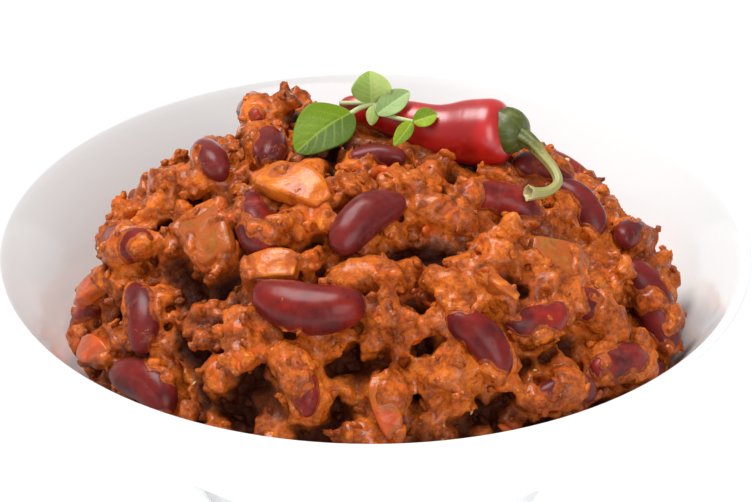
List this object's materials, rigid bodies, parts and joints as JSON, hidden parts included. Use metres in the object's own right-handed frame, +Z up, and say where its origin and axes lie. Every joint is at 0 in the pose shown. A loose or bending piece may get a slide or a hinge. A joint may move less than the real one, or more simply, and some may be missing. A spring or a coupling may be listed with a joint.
{
  "type": "chili con carne in a bowl",
  "caption": "Heaped chili con carne with kidney beans, pepper, onion and tomato in a round white bowl, topped with a red chilli and an oregano sprig.",
  "frame": {"origin": "under the middle of the foot, on the surface that the bowl stands on", "axes": "+Z up, +X the eater's right, +Y away from the eater"},
  "size_m": [0.14, 0.14, 0.0825],
  "materials": {
    "porcelain": "white glazed porcelain",
    "sauce": "minced meat in thick tomato sauce, moist",
    "bean_skin": "glossy dark red kidney bean skin",
    "pepper": "cooked yellow pepper",
    "onion": "translucent stewed onion",
    "tomato": "cooked tomato flesh",
    "chilli_skin": "waxy red chilli skin",
    "chilli_stalk": "green calyx and paler ribbed stalk",
    "oregano": "fresh green leaf"
  },
  "bodies": {
    "root": {"bowl": "porcelain", "chili_mound": "sauce", "chilli_pod": "chilli_skin", "chilli_stalk": "chilli_stalk", "kidney_bean_01": "bean_skin", "kidney_bean_02": "bean_skin", "kidney_bean_03": "bean_skin", "kidney_bean_04": "bean_skin", "kidney_bean_05": "bean_skin", "kidney_bean_06": "bean_skin", "kidney_bean_07": "bean_skin", "kidney_bean_08": "bean_skin", "kidney_bean_09": "bean_skin", "kidney_bean_10": "bean_skin", "kidney_bean_11": "bean_skin", "kidney_bean_12": "bean_skin", "kidney_bean_13": "bean_skin", "kidney_bean_14": "bean_skin", "kidney_bean_15": "bean_skin", "kidney_bean_16": "bean_skin", "kidney_bean_17": "bean_skin", "kidney_bean_18": "bean_skin", "kidney_bean_19": "bean_skin", "kidney_bean_20": "bean_skin", "kidney_bean_21": "bean_skin", "kidney_bean_22": "bean_skin", "kidney_bean_23": "bean_skin", "kidney_bean_24": "bean_skin", "kidney_bean_25": "bean_skin", "kidney_bean_26": "bean_skin", "kidney_bean_27": "bean_skin", "kidney_bean_28": "bean_skin", "kidney_bean_29": "bean_skin", "kidney_bean_30": "bean_skin", "kidney_bean_31": "bean_skin", "kidney_bean_32": "bean_skin", "kidney_bean_33": "bean_skin", "kidney_bean_34": "bean_skin", "onion_piece_1": "onion", "onion_piece_2": "onion", "oregano_sprig": "oregano", "pepper_piece_1": "pepper", "pepper_piece_2": "pepper", "pepper_piece_3": "pepper", "pepper_piece_4": "pepper", "tomato_piece_1": "tomato", "tomato_piece_2": "tomato", "tomato_piece_3": "tomato", "tomato_piece_4": "tomato"}
  },
  "joints": []
}
